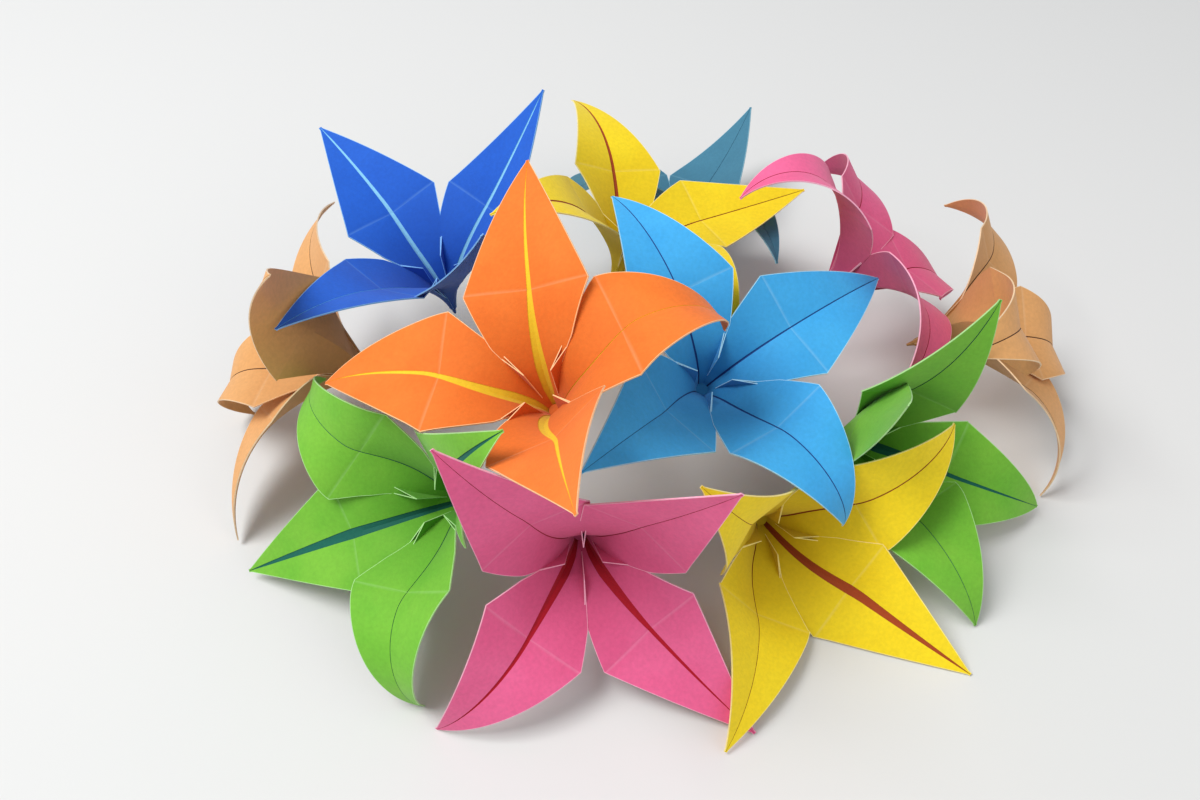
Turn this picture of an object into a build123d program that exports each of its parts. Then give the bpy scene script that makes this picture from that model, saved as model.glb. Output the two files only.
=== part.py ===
from build123d import *
import os
from math import cos, radians, sin, sqrt, tan

os.makedirs("parts", exist_ok=True)

# A heap of lilies, each folded from one square sheet of paper by the traditional
# four-petal fold. Lengths are millimetres and angles are degrees.

# The sheet
sheet_side = 150.0
petal_stack = 0.6
pleat_stack = 0.4

# The fold: a petal runs from the closed tip along half a diagonal of the sheet and is
# widest at its middle, where the narrowing folds end
narrowing_angle = 23.0
petal_length = sheet_side * sqrt(0.5)
petal_middle = petal_length / 2
petal_half_width = petal_middle * tan(radians(narrowing_angle))
petal_end_width = 1.2

# The throat: a narrow funnel that flares up to its rim, where the petals part
throat_start = 6.0
throat_rim = 27.0
throat_half_angle = 12.0
flare_angle = 42.0
throat_crease = 30.0
petal_crease = 12.0
end_crease = 5.0
petal_lap = 0.5
petal_foot = 5.0
petal_end_margin = 0.5
tip_plug_radius = 0.5
tip_plug_top_radius = 2.4
tip_plug_start = 1.5
tip_plug_end = 11.0

# The pleats between neighbouring petals
pleat_low = 14.0
pleat_high = 33.0
pleat_depth = 3.0
pleat_reach = 0.42

# The sideways sway of a petal grows between these two places along it
sway_start = 20.0
sway_end = 60.0

# The heap: the point of the table of places that becomes the origin
heap_middle = (20.06, 35.36, 0.13)
spread = sheet_side / 150.0

# Each lily: the place of its closed tip, the compass heading of its lean, the lean, the
# spin about its own axis, then four petals as opening at the middle, further curl up to
# the end, sideways sway and twist
lilies = {
    "light_blue_lily": ((37.8, -2, 42.2), -68, 26, -55,
                        ((48, 116, 7, -8), (83, 40, 0, 0), (73, 62, -5, 3), (44, 30, 7, -2))),
    "orange_lily": ((-12.4, -38, 70.5), 220, 21, 2,
                    ((82, 108, 20, -15), (68, 35, -3, 0), (82, 40, -14, -2), (42, 20, 20, 22))),
    "pink_front_lily": ((-8, -52, 30), -85, 65, 49,
                        ((46, 7, 5, 0), (55, 26, -10, -6), (48, 77, 0, -2), (65, 12, 0, -2))),
    "yellow_front_lily": ((61.8, -31.9, 7), -77, 58, -38,
                          ((54, 12, 10, 6), (54, 84, -11, 0), (19, 68, 0, 8), (25, 60, 14, -10))),
    "green_left_lily": ((-46, -39.7, 27), 228, 51, 10,
                        ((31, 62, 5, 6), (52, 116, 28, -8), (76, 12, -2, -5), (44, 116, -22, 0))),
    "green_right_lily": ((94, -1, 19), -64, 54, -6,
                         ((59, 60, -5, 3), (26, 42, 4, -6), (14, 22, -28, 4), (27, 80, 39, 4))),
    "dark_blue_lily": ((-63.3, 52, 33.8), 186, 8, -45,
                       ((42, -10, -9, 12), (50, -4, -4, 0), (56, 20, -5, -5), (50, 30, 10, -3))),
    "yellow_back_lily": ((4, 65.2, 37), 24, 22, 24,
                         ((69, -2, 0, 15), (56, 56, 0, 0), (54, 62, 11, 2), (54, 72, 0, 0))),
    "dusty_blue_lily": ((33, 115, -0.5), 84, 32, 40,
                        ((49, -16, 8, -3), (49, 22, 0, 0), (55, 95, 0, 0), (69, 93, -4, 0))),
    "pink_back_lily": ((89, 48.6, 41), 19, 48, 12,
                       ((60, 61, 16, 0), (50, 98, -7, 8), (63, 127, -5, 0), (71, 108, -5, -8))),
    "tan_left_lily": ((-84.7, 12.6, 32), 178, 56, -22,
                      ((24, 76, -6, -3), (53, 62, 16, 0), (28, 140, 13, 0), (69, 57, -24, 0))),
    "tan_right_lily": ((130, 34, 33.3), -10, 55, 20,
                       ((42, 148, -8, 0), (66, 89, -26, 0), (35, 138, 24, 0), (56, 89, 24, 0))),
}


def between(value, places, readings):
    """Read a broken line of readings at a value."""
    for a, b, low, high in zip(places, places[1:], readings, readings[1:]):
        if value <= b:
            return low + (high - low) * max(value - a, 0.0) / (b - a)
    return readings[-1]


def spine(along, opening, curl):
    """Midrib of a petal: distance from the lily's axis, height along it, and slope.

    The slope away from the axis changes evenly between the closed tip, the throat, the
    rim, the middle and the end, so each stretch is a straight line or an arc.
    """
    knots = (0.0, throat_start, throat_rim, petal_middle, petal_length)
    degrees = (throat_half_angle, throat_half_angle, flare_angle, opening, opening + curl)
    slopes = [radians(value) for value in degrees]
    out = 0.0
    up = 0.0
    slope = slopes[0]
    for start, end, low, high in zip(knots, knots[1:], slopes, slopes[1:]):
        run = min(max(along - start, 0.0), end - start)
        bend = (high - low) / (end - start)
        slope = low + bend * run if run > 0 else slope
        if abs(bend) < 1e-9:
            out += run * sin(low)
            up += run * cos(low)
        else:
            out += (cos(low) - cos(low + bend * run)) / bend
            up += (sin(low + bend * run) - sin(low)) / bend
    return out, up, slope


def crease(along):
    """Angle by which each half of a petal rises from flat at a place along it."""
    knots = (0.0, throat_rim, petal_middle, petal_length)
    return radians(between(along, knots, (throat_crease, throat_crease, petal_crease, end_crease)))


def half_width(along, opening, curl):
    """Width of one half of a petal, cut back in the funnel where its neighbour starts."""
    if along >= petal_middle:
        share = (petal_length - along) / (petal_length - petal_middle)
        return max(petal_half_width * share, petal_end_width / 2)
    out, up, slope = spine(along, opening, curl)
    rise = crease(along)
    joint = out / (cos(rise) + sin(rise) * cos(slope)) + petal_lap
    return min(petal_half_width * along / petal_middle, joint)


def lily_plane(place, heading, lean, spin):
    """Plane at a lily's closed tip with its axis as normal."""
    hinge = Axis((0, 0, 0), (-sin(radians(heading)), cos(radians(heading)), 0))
    axis = Vector(0, 0, 1).rotate(hinge, lean)
    first = Vector(cos(radians(spin)), sin(radians(spin)), 0).rotate(hinge, lean)
    spot = (Vector(*place) - Vector(*heap_middle)) * spread
    return Plane(origin=spot, x_dir=first, z_dir=axis)


def cross_plane(seat, turn, along, petal):
    """Plane across a petal at a place along its midrib."""
    opening, curl, sway, twist = petal
    out, up, slope = spine(along, opening, curl)
    ramp = min(max((along - sway_start) / (sway_end - sway_start), 0.0), 1.0)
    turned = radians(turn + sway * ramp * ramp * (3 - 2 * ramp))
    outward = seat.x_dir * cos(turned) + seat.y_dir * sin(turned)
    sideways = seat.y_dir * cos(turned) - seat.x_dir * sin(turned)
    forward = outward * sin(slope) + seat.z_dir * cos(slope)
    inward = seat.z_dir * sin(slope) - outward * cos(slope)
    share = min(max((along - throat_rim) / (petal_length - throat_rim), 0.0), 1.0)
    roll = radians(twist * share)
    middle = seat.origin + outward * out + seat.z_dir * up
    return Plane(origin=middle, x_dir=sideways * cos(roll) + inward * sin(roll), z_dir=forward)


def cross_outline(along, petal):
    """Corners of the creased strip that a petal is at a place along its midrib."""
    rise = crease(along)
    reach = half_width(along, petal[0], petal[1])
    x, y = reach * cos(rise), reach * sin(rise)
    under_x, under_y = x + petal_stack * sin(rise), y - petal_stack * cos(rise)
    return ((-x, y), (0, 0), (x, y), (under_x, under_y), (0, -petal_stack / cos(rise)), (-under_x, under_y))


def edge_point(seat, turn, along, petal, side):
    """Middle of a petal's cut edge at a place along it, on one side."""
    corners = cross_outline(along, petal)
    top = corners[2 if side > 0 else 0]
    bottom = corners[3 if side > 0 else 5]
    spot = Vector((top[0] + bottom[0]) * 0.49, (top[1] + bottom[1]) * 0.5, 0)
    return cross_plane(seat, turn, along, petal).from_local_coords(spot)


def pleat_corners(seat, number, petals):
    """Foot, two upper ends and inner vertex of the pleat after a petal."""
    after = (number + 1) % 4
    turn, turn_after = 90 * number, 90 * after
    foot_a = edge_point(seat, turn, pleat_low, petals[number], 1)
    foot_b = edge_point(seat, turn_after, pleat_low, petals[after], -1)
    end_a = edge_point(seat, turn, pleat_high, petals[number], 1)
    end_b = edge_point(seat, turn_after, pleat_high, petals[after], -1)
    top = seat.to_local_coords((end_a + end_b) * 0.5)
    vertex = Vector(top.X * pleat_reach, top.Y * pleat_reach, top.Z - pleat_depth)
    return (foot_a + foot_b) * 0.5, end_a, end_b, seat.from_local_coords(vertex)


# Where a petal's cross sections stand: three up the throat, three to its middle, four to its end
throat_run = throat_rim - petal_foot
lower_half = [petal_foot + share * throat_run for share in (0, 1 / 3, 2 / 3, 1)]
lower_half += [(throat_rim + petal_middle) / 2, petal_middle]
upper_run = petal_length - petal_end_margin - petal_middle
upper_half = [petal_middle + share * upper_run for share in (0, 0.25, 0.5, 0.75, 1)]

for name, (place, heading, lean, spin, petals) in lilies.items():
    seat = lily_plane(place, heading, lean, spin)
    with BuildPart() as lily:
        # The closed tip, where all layers of the sheet lie on each other
        with BuildSketch(seat.offset(tip_plug_start)):
            Circle(tip_plug_radius)
        with BuildSketch(seat.offset(tip_plug_end)):
            Circle(tip_plug_top_radius)
        loft()
        # Four petals, each lofted up to its widest place and on to its end
        for number, petal in enumerate(petals):
            for stations in (lower_half, upper_half):
                for along in stations:
                    with BuildSketch(cross_plane(seat, 90 * number, along, petal)):
                        with BuildLine():
                            Polyline(*cross_outline(along, petal), close=True)
                        make_face()
                loft()
        # Four inward pleats, each of two flat leaves
        for number in range(4):
            foot, end_a, end_b, vertex = pleat_corners(seat, number, petals)
            for end in (end_a, end_b):
                leaf = Plane(origin=foot, x_dir=end - foot, z_dir=(end - foot).cross(vertex - foot))
                corners = [leaf.to_local_coords(corner) for corner in (foot, end, vertex)]
                with BuildSketch(leaf):
                    with BuildLine():
                        Polyline(*[(corner.X, corner.Y) for corner in corners], close=True)
                    make_face()
        extrude(amount=pleat_stack / 2, both=True)
    lily.part.label = name
    export_step(lily.part, f"parts/{name}.step")
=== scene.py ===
"""Looks of a heap of folded paper lilies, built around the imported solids."""

import logging
from dataclasses import dataclass, field
from enum import Enum
from math import radians
from typing import List, Sequence, Tuple

import bpy
import numpy as np
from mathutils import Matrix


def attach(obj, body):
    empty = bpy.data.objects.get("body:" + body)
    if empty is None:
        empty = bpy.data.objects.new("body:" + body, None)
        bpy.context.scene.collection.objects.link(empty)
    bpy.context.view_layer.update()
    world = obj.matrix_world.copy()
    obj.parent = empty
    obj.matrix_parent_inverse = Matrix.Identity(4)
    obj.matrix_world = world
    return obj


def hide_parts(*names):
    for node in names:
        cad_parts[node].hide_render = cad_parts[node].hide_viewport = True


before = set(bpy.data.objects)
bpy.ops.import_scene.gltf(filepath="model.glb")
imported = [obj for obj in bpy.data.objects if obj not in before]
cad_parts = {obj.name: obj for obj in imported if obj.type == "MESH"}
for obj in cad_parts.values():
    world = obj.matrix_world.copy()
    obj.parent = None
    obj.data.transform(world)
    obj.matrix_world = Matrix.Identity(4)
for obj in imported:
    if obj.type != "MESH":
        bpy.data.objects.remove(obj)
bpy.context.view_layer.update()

LOG = logging.getLogger("lilies")
MM = 0.001
PETAL_COUNT = 4
PETAL_TURN = 360.0 / PETAL_COUNT
NEARLY_STRAIGHT = 1e-9
Colour = Tuple[float, float, float]
Point = Tuple[float, float, float]
Span = Tuple[float, float]


class Side(Enum):
    """The three kinds of paper surface that a folded lily shows."""

    FACE = 0
    REVERSE = 1
    EDGE = 2


@dataclass(frozen=True)
class PaperFinish:
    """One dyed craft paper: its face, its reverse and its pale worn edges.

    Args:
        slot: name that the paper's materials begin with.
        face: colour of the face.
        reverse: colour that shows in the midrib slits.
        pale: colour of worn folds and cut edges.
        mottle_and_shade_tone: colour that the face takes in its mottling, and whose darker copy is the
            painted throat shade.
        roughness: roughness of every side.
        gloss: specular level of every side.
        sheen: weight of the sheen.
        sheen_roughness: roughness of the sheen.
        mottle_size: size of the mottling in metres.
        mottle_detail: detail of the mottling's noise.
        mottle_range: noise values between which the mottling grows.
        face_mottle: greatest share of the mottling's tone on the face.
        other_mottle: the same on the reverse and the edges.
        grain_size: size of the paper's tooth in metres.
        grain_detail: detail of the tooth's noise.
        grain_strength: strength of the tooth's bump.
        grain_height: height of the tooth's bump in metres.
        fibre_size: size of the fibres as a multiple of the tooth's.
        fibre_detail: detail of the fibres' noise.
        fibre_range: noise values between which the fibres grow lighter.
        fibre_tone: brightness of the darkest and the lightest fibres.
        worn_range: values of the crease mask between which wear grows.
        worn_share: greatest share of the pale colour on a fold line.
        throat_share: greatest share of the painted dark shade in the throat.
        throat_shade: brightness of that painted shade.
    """

    slot: str
    face: Colour
    reverse: Colour
    pale: Colour
    mottle_and_shade_tone: Colour
    roughness: float = 0.72
    gloss: float = 0.25
    sheen: float = 0.12
    sheen_roughness: float = 0.5
    mottle_size: float = 0.016
    mottle_detail: float = 3.0
    mottle_range: Span = (0.35, 0.75)
    face_mottle: float = 0.5
    other_mottle: float = 0.2
    grain_size: float = 0.0009
    grain_detail: float = 4.0
    grain_strength: float = 0.22
    grain_height: float = 0.0004
    fibre_size: float = 1.6
    fibre_detail: float = 2.0
    fibre_range: Span = (0.3, 0.7)
    fibre_tone: Span = (0.95, 1.05)
    worn_range: Span = (0.25, 0.9)
    worn_share: float = 0.24
    throat_share: float = 0.8
    throat_shade: float = 0.5

    def material(self, side: Side) -> bpy.types.Material:
        """Make the node material of one side of the paper.

        Args:
            side: which surface the material is for.

        Returns:
            The material, made once and then shared.
        """
        name = f"{self.slot}_{side.name.lower()}"
        found = bpy.data.materials.get(name)
        if found is not None:
            return found
        made = bpy.data.materials.new(name)
        made.use_nodes = True
        shader = made.node_tree.nodes["Principled BSDF"]
        shader.inputs["Roughness"].default_value = self.roughness
        shader.inputs["Specular IOR Level"].default_value = self.gloss
        shader.inputs["Sheen Weight"].default_value = self.sheen
        shader.inputs["Sheen Roughness"].default_value = self.sheen_roughness
        colour = self._mottled(made, side)
        if side is Side.FACE:
            colour = self._creased(made, colour)
        # Painted shade: the face and the slits grow darker towards the throat.
        if side is not Side.EDGE:
            colour = self._painted_throat_shade(made, colour, side)
        made.node_tree.links.new(colour, shader.inputs["Base Color"])
        made.node_tree.links.new(self._grain(made), shader.inputs["Normal"])
        return made

    def _tone(self, side: Side) -> Colour:
        """Tone that a side drifts towards in its mottling, and whose darker copy is its painted throat
        shade: the face's own tone, or else the reverse.
        """
        return self.mottle_and_shade_tone if side is Side.FACE else self.reverse

    def _noise(self, made: bpy.types.Material, size: float, detail: float) -> bpy.types.NodeSocket:
        """Make noise on object coordinates.

        Args:
            made: the material.
            size: size of the noise's features in metres.
            detail: detail of the noise.

        Returns:
            The noise as a value socket.
        """
        nodes, links = made.node_tree.nodes, made.node_tree.links
        place = nodes.new("ShaderNodeTexCoord")
        noise = nodes.new("ShaderNodeTexNoise")
        noise.inputs["Scale"].default_value = 1.0 / size
        noise.inputs["Detail"].default_value = detail
        links.new(place.outputs["Object"], noise.inputs["Vector"])
        return noise.outputs["Fac"]

    def _mask(self, made: bpy.types.Material, label: str) -> bpy.types.NodeSocket:
        """Read a mask that is stored on the mesh.

        Args:
            made: the material.
            label: name of the mask.

        Returns:
            The mask as a value socket.
        """
        mask = made.node_tree.nodes.new("ShaderNodeAttribute")
        mask.attribute_name = label
        return mask.outputs["Fac"]

    def _ranged(
        self, made: bpy.types.Material, value: bpy.types.NodeSocket, start: Span, end: Span
    ) -> bpy.types.NodeSocket:
        """Carry a value from one range to another in a straight line, held at both ends.

        Args:
            made: the material.
            value: the value socket.
            start: the range that the value comes from.
            end: the range that it is carried to.

        Returns:
            The carried value as a socket.
        """
        ranged = made.node_tree.nodes.new("ShaderNodeMapRange")
        ranged.inputs["From Min"].default_value = start[0]
        ranged.inputs["From Max"].default_value = start[1]
        ranged.inputs["To Min"].default_value = end[0]
        ranged.inputs["To Max"].default_value = end[1]
        made.node_tree.links.new(value, ranged.inputs["Value"])
        return ranged.outputs["Result"]

    def _towards(
        self, made: bpy.types.Material, share: bpy.types.NodeSocket, tone: Colour
    ) -> bpy.types.Node:
        """Make a mix node that moves its input A towards a tone.

        Args:
            made: the material.
            share: how far it moves, from zero to one.
            tone: the colour that it moves towards.

        Returns:
            The mix node, with its input A still to be set.
        """
        mix = made.node_tree.nodes.new("ShaderNodeMix")
        mix.data_type = "RGBA"
        mix.inputs["B"].default_value = (*tone, 1.0)
        made.node_tree.links.new(share, mix.inputs["Factor"])
        return mix

    def _mottled(self, made: bpy.types.Material, side: Side) -> bpy.types.NodeSocket:
        """Make the side's colour, drifting a little towards its tone, with fine fibres over it.

        Args:
            made: the material.
            side: which surface it is for.

        Returns:
            The colour socket.
        """
        nodes, links = made.node_tree.nodes, made.node_tree.links
        base = {Side.FACE: self.face, Side.REVERSE: self.reverse, Side.EDGE: self.pale}[side]
        most = self.face_mottle if side is Side.FACE else self.other_mottle
        drift = self._noise(made, self.mottle_size, self.mottle_detail)
        drift = self._ranged(made, drift, self.mottle_range, (0.0, most))
        mottled = self._towards(made, drift, self._tone(side))
        mottled.inputs["A"].default_value = (*base, 1.0)
        fibre = self._noise(made, self.fibre_size * self.grain_size, self.fibre_detail)
        fibre = self._ranged(made, fibre, self.fibre_range, self.fibre_tone)
        flecked = nodes.new("ShaderNodeVectorMath")
        flecked.operation = "SCALE"
        links.new(mottled.outputs["Result"], flecked.inputs["Vector"])
        links.new(fibre, flecked.inputs["Scale"])
        return flecked.outputs["Vector"]

    def _creased(self, made: bpy.types.Material, colour: bpy.types.NodeSocket) -> bpy.types.NodeSocket:
        """Lighten the colour on the fold across the petal, where the crease mask is near one.

        Args:
            made: the material.
            colour: the paper's colour so far.

        Returns:
            The colour socket with the worn fold.
        """
        worn = self._ranged(made, self._mask(made, "crease"), self.worn_range, (0.0, self.worn_share))
        lined = self._towards(made, worn, self.pale)
        made.node_tree.links.new(colour, lined.inputs["A"])
        return lined.outputs["Result"]

    def _painted_throat_shade(
        self, made: bpy.types.Material, colour: bpy.types.NodeSocket, side: Side
    ) -> bpy.types.NodeSocket:
        """Paint shade into the colour towards the throat, where the depth mask is near one.

        Args:
            made: the material.
            colour: the paper's colour so far.
            side: which surface it is for.

        Returns:
            The colour socket with the painted throat shade.
        """
        # Painted shade: a darker copy of the side's tone, mixed in towards the throat.
        shade = tuple(self.throat_shade * value for value in self._tone(side))
        share = self._ranged(made, self._mask(made, "depth"), (0.0, 1.0), (0.0, self.throat_share))
        painted_shade = self._towards(made, share, shade)
        made.node_tree.links.new(colour, painted_shade.inputs["A"])
        return painted_shade.outputs["Result"]

    def _grain(self, made: bpy.types.Material) -> bpy.types.NodeSocket:
        """Make the fine tooth of the paper as a bump.

        Args:
            made: the material.

        Returns:
            The normal socket.
        """
        bump = made.node_tree.nodes.new("ShaderNodeBump")
        bump.inputs["Strength"].default_value = self.grain_strength
        bump.inputs["Distance"].default_value = self.grain_height
        tooth = self._noise(made, self.grain_size, self.grain_detail)
        made.node_tree.links.new(tooth, bump.inputs["Height"])
        return bump.outputs["Normal"]


class Paper(Enum):
    """The papers of the heap."""

    ORANGE = PaperFinish(
        "orange_paper", face=(0.93, 0.21, 0.025), reverse=(0.93, 0.6, 0.02),
        pale=(1.0, 0.55, 0.3), mottle_and_shade_tone=(0.85, 0.15, 0.01))
    LIGHT_BLUE = PaperFinish(
        "light_blue_paper", face=(0.055, 0.42, 0.83), reverse=(0.01, 0.07, 0.3),
        pale=(0.4, 0.75, 0.95), mottle_and_shade_tone=(0.03, 0.34, 0.76))
    PINK = PaperFinish(
        "pink_paper", face=(0.87, 0.14, 0.32), reverse=(0.5, 0.005, 0.02),
        pale=(0.95, 0.45, 0.6), mottle_and_shade_tone=(0.8, 0.09, 0.25))
    YELLOW = PaperFinish(
        "yellow_paper", face=(0.94, 0.71, 0.012), reverse=(0.4, 0.06, 0.01),
        pale=(1.0, 0.86, 0.3), mottle_and_shade_tone=(0.9, 0.62, 0.005))
    GREEN = PaperFinish(
        "green_paper", face=(0.2, 0.52, 0.04), reverse=(0.005, 0.13, 0.09),
        pale=(0.45, 0.78, 0.3), mottle_and_shade_tone=(0.1, 0.43, 0.02))
    DARK_BLUE = PaperFinish(
        "dark_blue_paper", face=(0.012, 0.12, 0.62), reverse=(0.25, 0.6, 0.85),
        pale=(0.2, 0.45, 0.85), mottle_and_shade_tone=(0.006, 0.09, 0.52))
    DUSTY_BLUE = PaperFinish(
        "dusty_blue_paper", face=(0.06, 0.22, 0.33), reverse=(0.03, 0.14, 0.22),
        pale=(0.25, 0.5, 0.62), mottle_and_shade_tone=(0.045, 0.18, 0.28))
    TAN = PaperFinish(
        "tan_paper", face=(0.78, 0.4, 0.15), reverse=(0.1, 0.03, 0.012),
        pale=(0.9, 0.65, 0.4), mottle_and_shade_tone=(0.68, 0.32, 0.1))


class Slit(Enum):
    """How far a midrib slit gapes: half widths in millimetres at the rim, middle and near the end."""

    HAIRLINE = (0.3, 0.15, 0.1)
    FINE = (0.5, 0.28, 0.18)
    PARTED = (1.2, 0.85, 0.35)
    WIDE = (2.3, 0.85, 0.12)
    BAND = (1.6, 2.0, 0.5)


@dataclass(frozen=True)
class Fold:
    """Sizes of the fold that all the lilies share, in millimetres and degrees.

    Places along a petal are measured along its midrib from the lily's closed tip.

    Args:
        sheet_side: side of the flat sheet.
        narrowing_angle: angle between a petal's midrib and its rim.
        end_width: width of a petal's blunt end.
        petal_foot: place where a petal begins.
        end_margin: how far short of its full length a petal stops.
        throat_start: place where the throat begins to flare.
        throat_rim: place where the petals part.
        throat_angle: slope of the midrib away from the axis at the closed tip.
        flare_angle: the same slope at the rim.
        creases: rise of a petal's halves in the throat, at its middle and at its end.
        lap: how far neighbouring petals lap in the throat.
        stack: thickness of a petal.
        slit_depth: depth of the midrib slit.
        slit_foot: half width of the slit at the petal's foot, as a share of that at the rim.
        slit_taper: length over which the slit closes before the petal's end.
        slit_end: half width of the slit at the petal's end.
        slit_limit: greatest half width of the slit, as a share of the petal's.
        worn_rim: width of the pale rim.
        rim_limit: greatest width of the pale rim, as a share of the petal's half width.
        fold_width: width of the fold line across a petal's middle.
        fold_bow: how far the fold line moves along the petal, per millimetre sideways.
        fold_dip: depth of the fold line.
        fold_margin: distance from the rim where the fold line stops dipping.
        shade_end: place where the throat's painted shade ends.
        sway_start: place where a petal's sideways sway begins.
        sway_end: place where the sway is complete.
        pleat_low: place of a pleat's foot.
        pleat_high: place of a pleat's upper ends.
        pleat_depth: how far a pleat's inner vertex lies below its upper ends.
        pleat_reach: distance of that vertex from the axis, as a share of the ends' middle.
        pleat_stack: thickness of a pleat's leaf.
        pleat_inset: sideways place of a pleat's corners, as a share of the petal's half width.
        pleat_shade: depth mask of the throat's painted shade on a pleat.
        tip_start: height where the closed tip begins.
        tip_end: height where it ends.
        tip_radius: its radius at the start.
        tip_top_radius: its radius at the end.
        heap_middle: point of the lilies' places that is the part's origin.
    """

    sheet_side: float = 150.0
    narrowing_angle: float = 23.0
    end_width: float = 1.2
    petal_foot: float = 5.0
    end_margin: float = 0.5
    throat_start: float = 6.0
    throat_rim: float = 27.0
    throat_angle: float = 12.0
    flare_angle: float = 42.0
    creases: Tuple[float, float, float] = (30.0, 12.0, 5.0)
    lap: float = 0.5
    stack: float = 0.5
    slit_depth: float = 0.22
    slit_foot: float = 0.6
    slit_taper: float = 10.0
    slit_end: float = 0.05
    slit_limit: float = 0.4
    worn_rim: float = 0.25
    rim_limit: float = 0.2
    fold_width: float = 0.35
    fold_bow: float = 0.02
    fold_dip: float = 0.12
    fold_margin: float = 0.2
    shade_end: float = 66.0
    sway_start: float = 20.0
    sway_end: float = 60.0
    pleat_low: float = 14.0
    pleat_high: float = 33.0
    pleat_depth: float = 3.0
    pleat_reach: float = 0.42
    pleat_stack: float = 0.35
    pleat_inset: float = 0.98
    pleat_shade: float = 0.7
    tip_start: float = 1.5
    tip_end: float = 11.0
    tip_radius: float = 0.5
    tip_top_radius: float = 2.4
    heap_middle: Point = (20.06, 35.36, 0.13)

    @property
    def length(self) -> float:
        """Length of a petal: half a diagonal of the sheet."""
        return self.sheet_side * 0.5 ** 0.5

    @property
    def middle(self) -> float:
        """Place along the midrib where a petal is widest."""
        return self.length / 2

    @property
    def half_width(self) -> float:
        """Half of a petal's greatest width."""
        return self.middle * float(np.tan(radians(self.narrowing_angle)))


FOLD = Fold()


@dataclass(frozen=True)
class Grid:
    """How finely the meshes are divided.

    Args:
        half_rows: rows of points along each half of a petal.
        face_columns: columns across half of a petal's top, from inside its rim to the slit.
        floor_columns: columns across the slit's floor.
        under_columns: columns across a petal's underside.
        tip_sides: sides of the closed tip.
        sharp_angle: angle in degrees past which an edge is shaded sharp.
    """

    half_rows: int = 46
    face_columns: int = 9
    floor_columns: int = 3
    under_columns: int = 15
    tip_sides: int = 16
    sharp_angle: float = 28.0

    @property
    def half_top(self) -> int:
        """Columns across half of a petal's top, with the one on its rim."""
        return self.face_columns + 1

    @property
    def top(self) -> int:
        """Columns across the whole of a petal's top, with the slit's floor."""
        return 2 * self.half_top + self.floor_columns


GRID = Grid()


@dataclass(frozen=True)
class Petal:
    """One petal, with its angles in degrees.

    Args:
        opening: slope of the midrib away from the axis at the petal's middle.
        curl: further slope up to its end.
        sway: sideways turn about the axis.
        twist: turn about the midrib.
    """

    opening: float
    curl: float
    sway: float
    twist: float

    def spine(self, along: np.ndarray) -> Tuple[np.ndarray, np.ndarray, np.ndarray]:
        """Midrib as distance from the lily's axis, height along it, and slope.

        The slope is a broken line over the closed tip, throat, rim, middle and end, and
        the distances are its sine and cosine summed exactly over each stretch.

        Args:
            along: places along the midrib in millimetres.

        Returns:
            Outward distances, heights and slopes in radians.
        """
        knots = np.array([0.0, FOLD.throat_start, FOLD.throat_rim, FOLD.middle, FOLD.length])
        end = self.opening + self.curl
        slopes = np.radians([FOLD.throat_angle, FOLD.throat_angle, FOLD.flare_angle, self.opening, end])
        run = np.clip(along[:, None] - knots[None, :-1], 0.0, np.diff(knots)[None])
        bend = np.diff(slopes) / np.diff(knots)
        straight = np.abs(bend) < NEARLY_STRAIGHT
        safe = np.where(straight, 1.0, bend)
        start = slopes[:-1]
        reached = start[None] + bend * run
        out = np.where(straight, run * np.sin(start), (np.cos(start) - np.cos(reached)) / safe)
        up = np.where(straight, run * np.cos(start), (np.sin(reached) - np.sin(start)) / safe)
        return out.sum(1), up.sum(1), np.interp(along, knots, slopes)

    def rise(self, along: np.ndarray) -> np.ndarray:
        """Angle by which each half rises from flat, a broken line along the midrib.

        Args:
            along: places along the midrib in millimetres.

        Returns:
            The angles in radians.
        """
        throat, middle, end = FOLD.creases
        knots = [0.0, FOLD.throat_rim, FOLD.middle, FOLD.length]
        return np.radians(np.interp(along, knots, [throat, throat, middle, end]))

    def reach(self, along: np.ndarray) -> np.ndarray:
        """Half width: a kite's, cut back in the funnel where the neighbour starts.

        Args:
            along: places along the midrib in millimetres.

        Returns:
            The half widths in millimetres.
        """
        out, _, slope = self.spine(along)
        rise = self.rise(along)
        low = FOLD.half_width * along / FOLD.middle
        high = FOLD.half_width * (FOLD.length - along) / (FOLD.length - FOLD.middle)
        joint = out / (np.cos(rise) + np.sin(rise) * np.cos(slope)) + FOLD.lap
        lower = np.minimum(low, joint)
        return np.where(along < FOLD.middle, lower, np.maximum(high, FOLD.end_width / 2))


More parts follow.
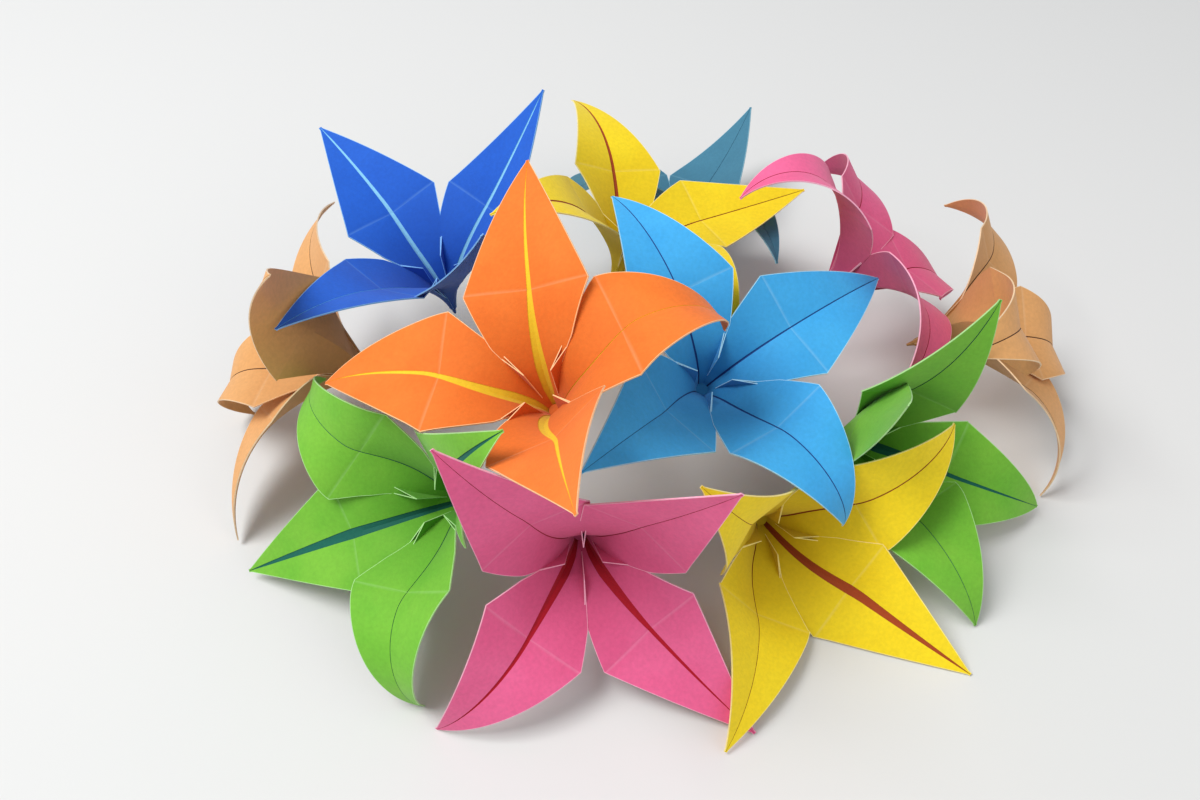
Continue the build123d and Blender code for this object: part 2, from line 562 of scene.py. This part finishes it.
@dataclass
class Sheet:
    """Collects grids of points and makes them into one mesh piece.

    Args:
        points: arrays of points in millimetres.
        faces: arrays of faces with four corners, a three-cornered one having its last twice.
        kinds: arrays of the faces' paper sides.
        creases: arrays of the points' crease mask.
        depths: arrays of the points' depth mask, which sets the painted throat shade.
        count: number of points so far.
    """

    points: List[np.ndarray] = field(default_factory=list)
    faces: List[np.ndarray] = field(default_factory=list)
    kinds: List[np.ndarray] = field(default_factory=list)
    creases: List[np.ndarray] = field(default_factory=list)
    depths: List[np.ndarray] = field(default_factory=list)
    count: int = 0

    def add_tube(self, grid: np.ndarray, kinds: np.ndarray, crease: np.ndarray, depth: np.ndarray) -> None:
        """Add a closed tube: rows of points, each row a closed loop, with capped ends.

        Args:
            grid: points of shape (rows, loop, 3) in millimetres.
            kinds: paper side of each of the loop's strips.
            crease: crease mask of each point, of shape (rows, loop).
            depth: depth mask of each row, which sets the painted throat shade.
        """
        rows, loop = grid.shape[:2]
        index = self.count + np.arange(rows * loop).reshape(rows, loop)
        after = np.roll(index, -1, axis=1)
        quads = np.stack([index[:-1], index[1:], after[1:], after[:-1]], -1).reshape(-1, 4)
        self.points.append(grid.reshape(-1, 3))
        self.faces.append(quads)
        self.kinds.append(np.tile(kinds, rows - 1))
        self.creases.append(crease.ravel())
        self.depths.append(np.repeat(depth, loop))
        self.count += rows * loop
        self._add_cap(index[0], int(kinds[-1]))
        self._add_cap(index[-1][::-1], int(kinds[-1]))

    def _add_cap(self, ring: np.ndarray, kind: int) -> None:
        """Close a ring of points with strips between its two halves.

        Args:
            ring: indices of the ring's points.
            kind: paper side of the cap.
        """
        half = len(ring) // 2
        near = ring[:half]
        far = ring[::-1][:half]
        quads = np.stack([near[:-1], near[1:], far[1:], far[:-1]], -1)
        self.faces.append(quads)
        self.kinds.append(np.full(len(quads), kind))

    def add_leaf(self, corners: np.ndarray, thick: float, depth: float) -> None:
        """Add a flat three-cornered leaf of paper: its two faces, then the rim between them.

        Args:
            corners: three corners in millimetres.
            thick: the leaf's thickness.
            depth: depth mask of the leaf, which sets the painted throat shade.
        """
        normal = np.cross(corners[1] - corners[0], corners[2] - corners[0])
        normal = normal / np.linalg.norm(normal) * thick / 2
        points = np.concatenate([corners + normal, corners - normal])
        flats = [[0, 1, 2, 2], [3, 5, 4, 4]]
        rims = [[0, 3, 4, 1], [1, 4, 5, 2], [2, 5, 3, 0]]
        self.points.append(points)
        self.faces.append(self.count + np.array(flats + rims))
        self.kinds.append(np.repeat([Side.FACE.value, Side.EDGE.value], [len(flats), len(rims)]))
        self.creases.append(np.zeros(len(points)))
        self.depths.append(np.full(len(points), depth))
        self.count += len(points)

    def make(self, name: str, finish: PaperFinish) -> bpy.types.Object:
        """Make the mesh object with its paper materials.

        Args:
            name: the piece's name.
            finish: the paper it is folded from.

        Returns:
            The object, linked to the scene.
        """
        points = np.concatenate(self.points) * MM
        quads = np.concatenate(self.faces)
        kinds = np.concatenate(self.kinds).astype(np.int32)
        triangle = quads[:, 2] == quads[:, 3]
        sizes = np.where(triangle, 3, 4).astype(np.int32)
        keep = np.ones(quads.shape, bool)
        keep[triangle, 3] = False
        mesh = bpy.data.meshes.new(name)
        mesh.vertices.add(len(points))
        mesh.vertices.foreach_set("co", points.astype(np.float32).ravel())
        mesh.loops.add(int(sizes.sum()))
        mesh.loops.foreach_set("vertex_index", quads[keep].astype(np.int32))
        mesh.polygons.add(len(sizes))
        mesh.polygons.foreach_set("loop_start", (np.cumsum(sizes) - sizes).astype(np.int32))
        for side in Side:
            mesh.materials.append(finish.material(side))
        mesh.polygons.foreach_set("material_index", kinds)
        mesh.update(calc_edges=True)
        mesh.validate()
        # The depth mask sets the painted throat shade; the crease mask sets the worn fold.
        for label, values in (("crease", self.creases), ("depth", self.depths)):
            mask = mesh.attributes.new(label, "FLOAT", "POINT")
            mask.data.foreach_set("value", np.concatenate(values).astype(np.float32))
        mesh.shade_smooth()
        mesh.set_sharp_from_angle(angle=radians(GRID.sharp_angle))
        piece = bpy.data.objects.new(name, mesh)
        bpy.context.scene.collection.objects.link(piece)
        return piece


@dataclass
class Lily:
    """One lily: where its closed tip sits, how it leans and turns, and its petals.

    Args:
        node: name of the solid that it stands for.
        paper: the paper it is folded from.
        place: its closed tip in millimetres.
        heading: compass heading of its lean in degrees.
        lean: lean from upright in degrees.
        spin: turn about its own axis in degrees.
        petals: opening, curl, sway and twist of each petal in degrees.
        slits: how far the midrib slit of each petal gapes.
    """

    node: str
    paper: Paper
    place: Point
    heading: float
    lean: float
    spin: float
    petals: Sequence[Tuple[float, float, float, float]]
    slits: Sequence[Slit] = (Slit.FINE,) * PETAL_COUNT

    def axes(self) -> np.ndarray:
        """First, second and main axis: the upright ones spun, then tilted to the heading.

        Returns:
            The three axes as rows.
        """
        heading, lean, spin = np.radians([self.heading, self.lean, self.spin])
        hinge = np.array([-np.sin(heading), np.cos(heading), 0.0])
        first = [np.cos(spin), np.sin(spin), 0.0]
        second = [-np.sin(spin), np.cos(spin), 0.0]
        flat = np.array([first, second, [0.0, 0.0, 1.0]])
        along = np.outer(flat @ hinge, hinge) * (1 - np.cos(lean))
        return flat * np.cos(lean) + np.cross(hinge[None], flat) * np.sin(lean) + along

    def origin(self) -> np.ndarray:
        """Closed tip in the part's frame, in millimetres."""
        return np.array(self.place, float) - np.array(FOLD.heap_middle)

    def lay(self, number: int, along: np.ndarray, x: np.ndarray, y: np.ndarray) -> np.ndarray:
        """Place points given across a petal: midrib point plus x sideways plus y inwards.

        The sway grows as a smooth step between its two places, and the twist grows evenly
        from the throat's rim to the petal's end.

        Args:
            number: which petal.
            along: places along the midrib, one per row.
            x: sideways distances of shape (rows, columns).
            y: inward distances of shape (rows, columns).

        Returns:
            Points of shape (rows, columns, 3).
        """
        petal = Petal(*self.petals[number])
        first, second, main_axis = self.axes()
        out, up, slope = petal.spine(along)
        ramp = np.clip((along - FOLD.sway_start) / (FOLD.sway_end - FOLD.sway_start), 0.0, 1.0)
        turned = np.radians(PETAL_TURN * number + petal.sway * ramp * ramp * (3 - 2 * ramp))[:, None]
        outward = np.cos(turned) * first + np.sin(turned) * second
        sideways = np.cos(turned) * second - np.sin(turned) * first
        inward = np.sin(slope)[:, None] * main_axis - np.cos(slope)[:, None] * outward
        share = np.clip((along - FOLD.throat_rim) / (FOLD.length - FOLD.throat_rim), 0.0, 1.0)
        roll = np.radians(petal.twist * share)[:, None]
        across = np.cos(roll) * sideways + np.sin(roll) * inward
        raised = np.cos(roll) * inward - np.sin(roll) * sideways
        spot = self.origin() + out[:, None] * outward + up[:, None] * main_axis
        return spot[:, None] + x[..., None] * across[:, None] + y[..., None] * raised[:, None]

    def stations(self) -> np.ndarray:
        """Places of a petal's rows: even over each half, with one on the fold between them.

        Returns:
            Places along the midrib in millimetres.
        """
        below, above = FOLD.middle - FOLD.fold_width, FOLD.middle + FOLD.fold_width
        lower = np.linspace(FOLD.petal_foot, below, GRID.half_rows)
        upper = np.linspace(above, FOLD.length - FOLD.end_margin, GRID.half_rows)
        return np.concatenate([lower, [FOLD.middle], upper])

    def slit_widths(self, number: int, along: np.ndarray, reach: np.ndarray) -> np.ndarray:
        """Half width of a midrib slit: a broken line, held within a share of the petal's.

        Args:
            number: which petal.
            along: places along the midrib, one per row.
            reach: half width of the petal, of shape (rows, 1).

        Returns:
            Half widths of shape (rows, 1).
        """
        closing = FOLD.length - FOLD.slit_taper
        knots = [FOLD.petal_foot, FOLD.throat_rim, FOLD.middle, closing, FOLD.length]
        gape = self.slits[number].value
        slit = np.interp(along, knots, [FOLD.slit_foot * gape[0], *gape, FOLD.slit_end])[:, None]
        return np.minimum(slit, FOLD.slit_limit * reach)

    def columns(self, reach: np.ndarray, slit: np.ndarray) -> np.ndarray:
        """Sideways places of a petal's points, as a loop over its top and back under it.

        The top runs from one rim across its worn band, in even steps to the slit's lip,
        over the slit's floor, and on to the other rim in the same way. The underside runs
        back in even steps.

        Args:
            reach: half width of the petal, of shape (rows, 1).
            slit: half width of the slit, of shape (rows, 1).

        Returns:
            Places of shape (rows, columns).
        """
        rim = np.minimum(FOLD.worn_rim, FOLD.rim_limit * reach)
        left = -(slit + (reach - rim - slit) * np.linspace(1.0, 0.0, GRID.face_columns)[None])
        left = np.concatenate([-reach, left], 1)
        floor = slit * np.linspace(-1.0, 1.0, GRID.floor_columns)[None]
        under = np.linspace(1.0, -1.0, GRID.under_columns)[None] * reach
        return np.concatenate([left, floor, -left[:, ::-1], under], 1)

    def strip_sides(self) -> np.ndarray:
        """Paper side of each strip of a petal, in the order of its columns.

        Returns:
            One side's number for each strip.
        """
        face, reverse, edge = Side.FACE.value, Side.REVERSE.value, Side.EDGE.value
        half = [edge] + [face] * (GRID.face_columns - 1)
        slit = [reverse] * (GRID.floor_columns + 1)
        under = [edge] + [face] * (GRID.under_columns - 1) + [edge]
        return np.array(half + slit + half[::-1] + under)

    def add_petal(self, sheet: Sheet, number: int) -> None:
        """Add one petal: a creased strip with a slit along its midrib and a worn fold.

        Each half of the strip rises from the midrib by the crease's angle. The slit's
        floor lies below the top, the underside lies below it by the thickness of the
        stack, and the fold across the middle is a shallow bell-shaped dip.

        Args:
            sheet: the mesh that is being collected.
            number: which petal.
        """
        petal = Petal(*self.petals[number])
        along = self.stations()
        reach, rise = petal.reach(along)[:, None], petal.rise(along)[:, None]
        x = self.columns(reach, self.slit_widths(number, along, reach))
        counts = [GRID.half_top, GRID.floor_columns, GRID.half_top, GRID.under_columns]
        drop = np.repeat([0.0, FOLD.slit_depth, 0.0, FOLD.stack], counts)[None]
        flat = np.abs(x)
        fold = FOLD.middle + FOLD.fold_bow * flat
        line = np.exp(-((along[:, None] - fold) / FOLD.fold_width) ** 2)
        dip = FOLD.fold_dip * line * (flat < reach - FOLD.fold_margin)
        y = flat * np.sin(rise) - drop * np.cos(rise) - dip
        wide = x * np.cos(rise) + np.sign(x) * drop * np.sin(rise)
        crease = line * (np.arange(x.shape[1]) < GRID.top)[None]
        # Painted throat shade: full at the closed tip, fading to none at shade_end.
        depth = np.clip(1.0 - along / FOLD.shade_end, 0.0, 1.0)
        sheet.add_tube(self.lay(number, along, wide, y), self.strip_sides(), crease, depth)

    def rim_point(self, number: int, along: float, side: int) -> np.ndarray:
        """Point just inside the middle of a petal's rim, where a pleat joins it.

        Args:
            number: which petal.
            along: place along the midrib in millimetres.
            side: one or minus one, for either side of the midrib.

        Returns:
            The point in millimetres.
        """
        petal = Petal(*self.petals[number])
        place = np.array([along])
        reach, rise = petal.reach(place)[0], petal.rise(place)[0]
        x = side * FOLD.pleat_inset * (reach * np.cos(rise) + FOLD.stack / 2 * np.sin(rise))
        y = reach * np.sin(rise) - FOLD.stack / 2 * np.cos(rise)
        return self.lay(number, place, np.array([[x]]), np.array([[y]]))[0, 0]

    def add_pleat(self, sheet: Sheet, number: int) -> None:
        """Add the pleat after a petal: two leaves that meet at a vertex in the throat.

        The vertex is the middle of the pleat's upper ends, drawn in towards the lily's
        axis and moved down along it.

        Args:
            sheet: the mesh that is being collected.
            number: the petal before the pleat.
        """
        after = (number + 1) % PETAL_COUNT
        foot_a = self.rim_point(number, FOLD.pleat_low, 1)
        foot_b = self.rim_point(after, FOLD.pleat_low, -1)
        foot = (foot_a + foot_b) / 2
        end_a = self.rim_point(number, FOLD.pleat_high, 1)
        end_b = self.rim_point(after, FOLD.pleat_high, -1)
        axes = self.axes()
        local = axes @ ((end_a + end_b) / 2 - self.origin())
        local = local * np.array([FOLD.pleat_reach, FOLD.pleat_reach, 1.0])
        local = local - np.array([0.0, 0.0, FOLD.pleat_depth])
        vertex = self.origin() + local @ axes
        # Each leaf carries a fixed share of the painted throat shade.
        for corners in ([foot, end_a, vertex], [foot, vertex, end_b]):
            sheet.add_leaf(np.array(corners), FOLD.pleat_stack, FOLD.pleat_shade)

    def add_closed_tip(self, sheet: Sheet) -> None:
        """Add the closed tip: a slim cone of stacked layers about the lily's axis.

        Args:
            sheet: the mesh that is being collected.
        """
        turn = np.linspace(0.0, 2 * np.pi, GRID.tip_sides, endpoint=False)[None]
        height = np.array([[FOLD.tip_start], [FOLD.tip_end]])
        radius = np.array([[FOLD.tip_radius], [FOLD.tip_top_radius]])
        ring = np.stack([radius * np.cos(turn), -radius * np.sin(turn), height + 0 * turn], -1)
        kinds = np.full(GRID.tip_sides, Side.FACE.value)
        crease = np.zeros(ring.shape[:2])
        # The closed tip gets the full painted throat shade.
        sheet.add_tube(self.origin() + ring @ self.axes(), kinds, crease, np.ones(len(ring)))

    def build(self) -> bpy.types.Object:
        """Build the lily's mesh, dress it and set it in the place of its solid.

        Returns:
            The finished piece.
        """
        sheet = Sheet()
        self.add_closed_tip(sheet)
        for number in range(PETAL_COUNT):
            self.add_petal(sheet, number)
            self.add_pleat(sheet, number)
        piece = sheet.make(f"{self.node}_folded", self.paper.value)
        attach(piece, "root")
        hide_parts(self.node)
        return piece


@dataclass
class Bouquet:
    """The heap of lilies.

    Args:
        lilies: the lilies, with the same places and angles as the solids.
    """

    lilies: List[Lily] = field(default_factory=lambda: [
        Lily("light_blue_lily", Paper.LIGHT_BLUE, (37.8, -2, 42.2), -68, 26, -55,
             ((48, 116, 7, -8), (83, 40, 0, 0), (73, 62, -5, 3), (44, 30, 7, -2)),
             (Slit.FINE, Slit.FINE, Slit.FINE, Slit.HAIRLINE)),
        Lily("orange_lily", Paper.ORANGE, (-12.4, -38, 70.5), 220, 21, 2,
             ((82, 108, 20, -15), (68, 35, -3, 0), (82, 40, -14, -2), (42, 20, 20, 22)),
             (Slit.HAIRLINE, Slit.WIDE, Slit.WIDE, Slit.WIDE)),
        Lily("pink_front_lily", Paper.PINK, (-8, -52, 30), -85, 65, 49,
             ((46, 7, 5, 0), (55, 26, -10, -6), (48, 77, 0, -2), (65, 12, 0, -2)),
             (Slit.HAIRLINE, Slit.HAIRLINE, Slit.WIDE, Slit.WIDE)),
        Lily("yellow_front_lily", Paper.YELLOW, (61.8, -31.9, 7), -77, 58, -38,
             ((54, 12, 10, 6), (54, 84, -11, 0), (19, 68, 0, 8), (25, 60, 14, -10)),
             (Slit.BAND, Slit.FINE, Slit.HAIRLINE, Slit.HAIRLINE)),
        Lily("green_left_lily", Paper.GREEN, (-46, -39.7, 27), 228, 51, 10,
             ((31, 62, 5, 6), (52, 116, 28, -8), (76, 12, -2, -5), (44, 116, -22, 0)),
             (Slit.BAND, Slit.HAIRLINE, Slit.BAND, Slit.HAIRLINE)),
        Lily("green_right_lily", Paper.GREEN, (94, -1, 19), -64, 54, -6,
             ((59, 60, -5, 3), (26, 42, 4, -6), (14, 22, -28, 4), (27, 80, 39, 4)),
             (Slit.WIDE, Slit.FINE, Slit.HAIRLINE, Slit.HAIRLINE)),
        Lily("dark_blue_lily", Paper.DARK_BLUE, (-63.3, 52, 33.8), 186, 8, -45,
             ((42, -10, -9, 12), (50, -4, -4, 0), (56, 20, -5, -5), (50, 30, 10, -3)),
             (Slit.HAIRLINE, Slit.PARTED, Slit.PARTED, Slit.HAIRLINE)),
        Lily("yellow_back_lily", Paper.YELLOW, (4, 65.2, 37), 24, 22, 24,
             ((69, -2, 0, 15), (56, 56, 0, 0), (54, 62, 11, 2), (54, 72, 0, 0)),
             (Slit.FINE, Slit.PARTED, Slit.PARTED, Slit.HAIRLINE)),
        Lily("dusty_blue_lily", Paper.DUSTY_BLUE, (33, 115, -0.5), 84, 32, 40,
             ((49, -16, 8, -3), (49, 22, 0, 0), (55, 95, 0, 0), (69, 93, -4, 0)),
             (Slit.HAIRLINE,) * PETAL_COUNT),
        Lily("pink_back_lily", Paper.PINK, (89, 48.6, 41), 19, 48, 12,
             ((60, 61, 16, 0), (50, 98, -7, 8), (63, 127, -5, 0), (71, 108, -5, -8))),
        Lily("tan_left_lily", Paper.TAN, (-84.7, 12.6, 32), 178, 56, -22,
             ((24, 76, -6, -3), (53, 62, 16, 0), (28, 140, 13, 0), (69, 57, -24, 0))),
        Lily("tan_right_lily", Paper.TAN, (130, 34, 33.3), -10, 55, 20,
             ((42, 148, -8, 0), (66, 89, -26, 0), (35, 138, 24, 0), (56, 89, 24, 0))),
    ])

    def build(self) -> List[bpy.types.Object]:
        """Build every lily, and give the finished pieces in order."""
        return [lily.build() for lily in self.lilies]


@dataclass(frozen=True)
class Lamp:
    """One square soft light.

    Args:
        name: its name.
        place: where it hangs, in millimetres.
        side: its side in millimetres.
        power: its power in watts.
    """

    name: str
    place: Point
    side: float
    power: float


@dataclass
class Studio:
    """Floor, soft lights and the camera at the photo's angle, in millimetres and degrees.

    Args:
        eye: the camera's place, measured as the lilies' places are.
        tilt: how far down the camera looks.
        lens: its focal length.
        sensor: width of its sensor.
        lamps: the lights.
        aim: the point that the lights look at.
        floor_side: side of the floor.
        floor_colour: colour of the floor.
        floor_roughness: roughness of the floor.
        world_colour: colour of the surround.
        world_strength: strength of the surround.
    """

    eye: Point = (0.0, -262.0, 350.0)
    tilt: float = 50.0
    lens: float = 30.3
    sensor: float = 36.0
    lamps: Tuple[Lamp, ...] = (
        Lamp("key_light", (-900.0, -100.0, 1600.0), 900.0, 27.0),
        Lamp("fill_light", (700.0, -500.0, 700.0), 900.0, 1.8),
    )
    aim: Point = (0.0, 0.0, 50.0)
    floor_side: float = 6000.0
    floor_colour: Colour = (0.74, 0.74, 0.73)
    floor_roughness: float = 0.9
    world_colour: Colour = (0.95, 0.97, 1.0)
    world_strength: float = 0.44

    def build(self) -> None:
        """Set up the whole studio."""
        self.add_floor()
        for lamp in self.lamps:
            self.add_light(lamp)
        self.add_world()
        self.add_camera()
        bpy.context.scene.view_settings.view_transform = "Standard"

    def add_floor(self) -> None:
        """Add a plain pale floor: one flat square at table height."""
        half = self.floor_side / 2 * MM
        corners = [(-half, -half, 0.0), (half, -half, 0.0), (half, half, 0.0), (-half, half, 0.0)]
        mesh = bpy.data.meshes.new("floor")
        mesh.from_pydata(corners, [], [(0, 1, 2, 3)])
        floor = bpy.data.objects.new("floor", mesh)
        bpy.context.scene.collection.objects.link(floor)
        made = bpy.data.materials.new("pale_floor")
        made.use_nodes = True
        shader = made.node_tree.nodes["Principled BSDF"]
        shader.inputs["Base Color"].default_value = (*self.floor_colour, 1.0)
        shader.inputs["Roughness"].default_value = self.floor_roughness
        mesh.materials.append(made)

    def add_light(self, lamp: Lamp) -> None:
        """Add a square soft light that looks at the studio's aim.

        Args:
            lamp: the light's name, place, side and power.
        """
        source = bpy.data.lights.new(lamp.name, "AREA")
        source.energy = lamp.power
        source.size = lamp.side * MM
        light = bpy.data.objects.new(lamp.name, source)
        bpy.context.scene.collection.objects.link(light)
        spot = np.array(lamp.place) * MM
        light.location = spot
        down = np.array(self.aim) * MM - spot
        flat = float(np.hypot(down[0], down[1]))
        pitch = float(np.arctan2(flat, -down[2]))
        light.rotation_euler = (pitch, 0.0, float(np.arctan2(-down[0], down[1])))

    def add_world(self) -> None:
        """Add an even pale surround."""
        world = bpy.data.worlds.new("studio")
        world.use_nodes = True
        back = world.node_tree.nodes["Background"]
        back.inputs["Color"].default_value = (*self.world_colour, 1.0)
        back.inputs["Strength"].default_value = self.world_strength
        bpy.context.scene.world = world

    def add_camera(self) -> None:
        """Add the camera, looking along the table and down on the heap."""
        lens = bpy.data.cameras.new("camera")
        lens.lens = self.lens
        lens.sensor_width = self.sensor
        camera = bpy.data.objects.new("camera", lens)
        bpy.context.scene.collection.objects.link(camera)
        camera.location = (np.array(self.eye) - np.array(FOLD.heap_middle)) * MM
        camera.rotation_euler = (radians(90.0 - self.tilt), 0.0, 0.0)
        bpy.context.scene.camera = camera


def main() -> None:
    """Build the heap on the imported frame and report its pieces."""
    logging.basicConfig(level=logging.INFO)
    for piece in Bouquet().build():
        LOG.info("%s has %d faces", piece.name, len(piece.data.polygons))
    Studio().build()


if __name__ == "__main__":
    main()
